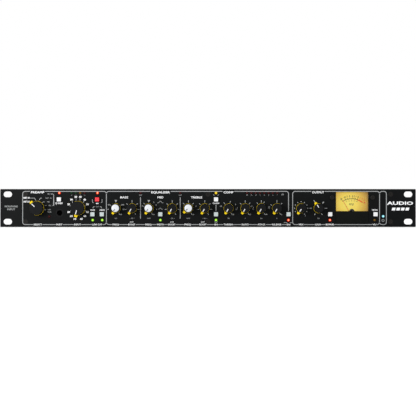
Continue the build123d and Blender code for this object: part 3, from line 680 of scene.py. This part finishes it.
# ---------------------------------------------------------------- lights
LED_FLANGE_R = 1.9
LED_FLANGE = (1.5, 2.5)     # depths of the flange's two faces
LED_DOME = 1.2              # depth of the domed end
LEAD_HALF = 0.25
LEAD_TO = 13.9              # leads reach the control board


def light(index, x, z, look):
    """Domed 3 mm light with a flange and two leads, in its own object space."""
    tip = FRONT - 1.0
    dome = [(LED_R * sin(radians(a)), tip + LED_DOME * (1 - cos(radians(a)))) for a in range(0, 91, 15)]
    near, far = LED_FLANGE
    bm = bmesh.new()
    lathe(bm, dome + [(LED_R, near), (LED_FLANGE_R, near), (LED_FLANGE_R, far), (0, far)], 0, 0, 24)
    for lead in (-1.0, 1.0):
        block(bm, lead - LEAD_HALF, lead + LEAD_HALF, far - 0.1, LEAD_TO, -LEAD_HALF, LEAD_HALF)
    piece = new_piece(f"light_{index:02d}", bm, CASE, M[look], smooth=50)
    piece.location = (x * MM, 0, z * MM)
    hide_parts("leds")


# ---------------------------------------------------------------- meter
SCALE_ARC = 20.9            # radius about the needle's pivot
SCALE_FROM, SCALE_ZERO, SCALE_TO = -31, 18, 37      # angles of the scale's start, zero mark and end
SCALE_MARKS = ((SCALE_FROM, "20"), (-20, "10"), (-13, "7"), (-6, "5"), (2, "3"), (7, "2"), (12, "1"),
               (SCALE_ZERO, "0"))
OVER_MARKS = ((24, "1"), (30, "2"), (SCALE_TO, "3"))
DIAL_GLOW = ((0.0, (0.92, 0.80, 0.15)), (0.4, (0.88, 0.66, 0.09)), (0.72, (0.64, 0.38, 0.045)),
             (1.0, (0.26, 0.13, 0.02)))


def meter_face():
    """Backlit dial card with its scale, over the CAD dial plate."""
    lo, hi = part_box("meter_scale")
    pivot = JOINTS["needle_swing"]["pos_m"]
    px, pz = pivot[0] / MM, pivot[2] / MM
    face_y = lo.y / MM - 0.12
    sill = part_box("meter_lens")[0].z / MM
    bm = bmesh.new()
    block(bm, lo.x / MM, hi.x / MM, face_y, lo.y / MM - 0.01, sill - 2.5, hi.z / MM)
    glow = radial_glow("meter_dial_lit", DIAL_GLOW, 0.92, 26, (px - 3.5, sill + 9), (0.035, 0.02, 0.004))
    new_piece("meter_card", bm, CASE, glow)
    ink_y = face_y - 0.05

    def at(angle, radius):
        return px + radius * sin(radians(angle)), pz + radius * cos(radians(angle))

    black, red = bmesh.new(), bmesh.new()
    ribbon(black, arc(px, pz, SCALE_ARC, SCALE_FROM, SCALE_ZERO, 3), 0.55, ink_y, face_y)
    ribbon(red, arc(px, pz, SCALE_ARC - 0.3, SCALE_ZERO, SCALE_TO, 3), 1.1, ink_y, face_y)
    for group, marks in ((black, SCALE_MARKS), (red, OVER_MARKS)):
        for angle, text in marks:
            ribbon(group, [at(angle, SCALE_ARC), at(angle, SCALE_ARC + 1.7)], 0.45, ink_y, face_y)
            lettering(group, text, *at(angle, SCALE_ARC + 3.0), 1.6, bold=0.1, y=ink_y, turn=angle)
    for i in range(6):
        angle = -29 + 9.4 * i
        ribbon(black, [at(angle, SCALE_ARC), at(angle, SCALE_ARC - 1.0)], 0.3, ink_y, face_y)
        lettering(black, str(20 * i), *at(angle, SCALE_ARC - 2.4), 1.05, y=ink_y, turn=angle)
    for letter, side in (("V", -1), ("U", 1)):
        lettering(black, letter, px - 0.6 + 1.45 * side, 4.1, 2.3, bold=0.14, y=ink_y)
    lettering(red, "+", *at(43, SCALE_ARC + 1.0), 2.6, bold=0.2, y=ink_y)
    new_piece("meter_scale_black", black, CASE, M["meter_ink"])
    new_piece("meter_scale_red", red, CASE, M["needle_red"])


# ---------------------------------------------------------------- rear panel
XLR_X = (-180.0, -145.0, -110.0)
JACK_X = (-75.0, -50.0)
INLET_X = 170.0
ROCKER_X = JOINTS["power_rock"]["pos_m"][0] / MM
ROCKER_TILT = -8            # its rest position, degrees
ROCKER_RIDGE = 3.2          # from the pivot out to the fold between its two faces
ROCKER_SLOPE = 1 / 7.9      # the faces rise outwards from the fold
PINS = ((-4.3, 1.6), (4.3, 1.6), (0, -4.6))         # of the male socket, from its centre
BLADES = ((-7, -1), (0, 3), (7, -1))                # of the mains inlet


def rear_print():
    bm = bmesh.new()
    y = REAR + PRINT_T / 2
    for x, text in zip(XLR_X, ("MIC", "LINE", "OUTPUT")):
        lettering(bm, text, x, 17.9, 1.9, bold=0.03, y=y, behind=True)
    for x, text in zip(JACK_X, ("SEND", "RETURN")):
        lettering(bm, text, x, 11.0, 1.9, bold=0.03, y=y, behind=True)
    lettering(bm, "INSERT", sum(JACK_X) / 2, 15.4, 1.9, bold=0.03, y=y, behind=True)
    lettering(bm, "MAINS", INLET_X, 14.6, 2.1, bold=0.03, y=y, behind=True)
    lettering(bm, "POWER", ROCKER_X, 14.6, 2.1, bold=0.03, y=y, behind=True)
    for x0, x1 in ((-198.0, -92.0), (-88.0, -37.0), (120.0, 199.0)):
        ribbon(bm, [(x0, -18.6), (x1, -18.6)], THIN, REAR - 0.02, REAR + PRINT_T)
    new_piece("print_rear", bm, CASE, M["print_white"])


def rear_contacts():
    """Metal sleeves on the male socket's pins, the inlet's blades and the jacks' bushes."""
    bm = bmesh.new()
    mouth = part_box("xlr_sockets")[1].y / MM
    sleeve = [(0, mouth - 1.3), (0.8, mouth - 1.5), (1.2, mouth - 2.2), (1.2, mouth - 15.9),
              (0, mouth - 15.9)]
    for dx, z in PINS:
        lathe(bm, sleeve, XLR_X[2] + dx, z, 20)
    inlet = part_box("mains_inlet")[1].y / MM
    for dx, z in BLADES:
        x = INLET_X + dx
        block(bm, x - 1.04, x + 1.04, inlet - 16.9, inlet - 2.9, z - 2.04, z + 2.04)
    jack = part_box("jack_sockets")[1].y / MM
    bush = [(3.3, jack - 2.4), (4.75, jack - 0.3), (4.6, jack), (3.3, jack), (3.3, jack - 2.4)]
    for x in JACK_X:
        lathe(bm, bush, x, 0, 32)
    new_piece("rear_contacts", bm, CASE, M["contact_metal"], smooth=40)


def rocker_marks():
    """On and off signs on the rocker's two faces."""
    bm = bmesh.new()
    ribbon(bm, [(ROCKER_X, 3.0), (ROCKER_X, 5.6)], 0.6, 0, 0.05)
    ribbon(bm, arc(ROCKER_X, -4.4, 1.4, 0, 360, 20), THIN, 0, 0.05)
    place_on_rocker(bm)
    new_piece("rocker_marks", bm, "rocker", M["print_white"])


def place_on_rocker(bm):
    """Lift the flat signs onto the rocker's V-shaped face at its rest tilt."""
    pivot = Vector([v / MM for v in JOINTS["power_rock"]["pos_m"]])
    tilt = Matrix.Rotation(radians(ROCKER_TILT), 4, "X")
    for v in bm.verts:
        ink = 0.07 if v.co.y > 0.01 else -0.01
        depth = ROCKER_RIDGE + abs(v.co.z) * ROCKER_SLOPE + ink
        v.co = pivot + tilt @ Vector((v.co.x - pivot.x, depth, v.co.z))


# ---------------------------------------------------------------- inside
CAN_TALL = 24.0             # capacitors above the main board
CAN_PLACES = [(30 + 14 * (i % 3), 70 + 22 * (i // 3)) for i in range(6)]
PAD_ROWS = (104.0, 122.0)
PAD_FIRST, PAD_PITCH, PAD_COUNT = -196, 7.1, 40
PAD_HALF = 0.8


def inner_detail():
    """Detail seen through the vents: capacitor tops and solder pads on the main board."""
    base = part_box("main_board")[1].z / MM
    tops, pads = bmesh.new(), bmesh.new()
    for x, y in CAN_PLACES:
        disc(tops, x, y, base + CAN_TALL, 4.8)
    for i in range(PAD_COUNT):
        x = PAD_FIRST + PAD_PITCH * i
        for y in PAD_ROWS:
            block(pads, x - PAD_HALF, x + PAD_HALF, y - PAD_HALF, y + PAD_HALF, base - 0.02, base + 0.04)
    new_piece("capacitor_tops", tops, CASE, M["contact_metal"])
    new_piece("board_pads", pads, CASE, M["brass"])


def disc(bm, x, y, z, radius, thick=0.05, steps=24):
    """Thin closed disc lying flat on a surface at height z."""
    turns = [2 * pi * i / steps for i in range(steps)]
    low, high = ([bm.verts.new((x + radius * cos(t), y + radius * sin(t), level)) for t in turns]
                 for level in (z - 0.02, z + thick))
    bm.faces.new(low[::-1])
    bm.faces.new(high)
    for i in range(steps):
        j = (i + 1) % steps
        bm.faces.new((low[i], low[j], high[j], high[i]))


# ---------------------------------------------------------------- studio
CAMERA_AWAY = 2.0           # metres from the panel's face
SENSOR = 36.0
FRAME_WIDTH = (CAD_BOX[1].x - CAD_BOX[0].x) * 1.0009    # metres across the picture at the panel


def area(name, location, target, size, power):
    """Soft rectangular lamp aimed at a point."""
    lamp = bpy.data.lights.new(name, "AREA")
    lamp.shape = "RECTANGLE"
    lamp.size, lamp.size_y = size
    lamp.energy = power
    holder = bpy.data.objects.new(name, lamp)
    bpy.context.scene.collection.objects.link(holder)
    holder.location = location
    aim = Vector(target) - Vector(location)
    holder.rotation_euler = aim.to_track_quat("-Z", "Y").to_euler()


def studio():
    """Pale floor, soft lights and the camera in front of the panel's centre."""
    floor_z = CAD_BOX[0].z
    bpy.ops.mesh.primitive_plane_add(size=12, location=(0, 0.6, floor_z))
    floor = bpy.context.object
    floor.name = "floor"
    mat = material("floor_white", (0.86, 0.86, 0.86), rough=0.9, grain=40, vary=0.01)
    floor.data.materials.append(mat)
    bpy.context.scene.view_settings.view_transform = "Standard"
    world = bpy.context.scene.world or bpy.data.worlds.new("studio")
    bpy.context.scene.world = world
    world.use_nodes = True
    world.node_tree.nodes["Background"].inputs["Color"].default_value = (1, 1, 1, 1)
    world.node_tree.nodes["Background"].inputs["Strength"].default_value = 1.0
    area("key", (-1.05, -1.7, 0.3), (-0.2, 0, 0), (0.6, 0.6), 24)
    area("back", (0.3, 1.4, 1.2), (0, 0.1, 0), (1.2, 0.6), 6)
    camera_data = bpy.data.cameras.new("camera")
    camera_data.sensor_width = SENSOR
    camera_data.lens = SENSOR * CAMERA_AWAY / FRAME_WIDTH
    camera = bpy.data.objects.new("camera", camera_data)
    camera.location = (0, FRONT * MM - CAMERA_AWAY, 0)
    camera.rotation_euler = (pi / 2, 0, 0)
    bpy.context.scene.collection.objects.link(camera)
    bpy.context.scene.camera = camera


studio()
dress_cad()
printed_outlines()
printed_titles()
printed_labels()
printed_marks()
badge()
dials()
for knob_name in KNOBS:
    knob_trim(knob_name)
for number, (lx, lz, colour) in enumerate(LIGHTS, 1):
    light(number, lx, lz, colour)
meter_face()
rear_print()
rear_contacts()
rocker_marks()
inner_detail()
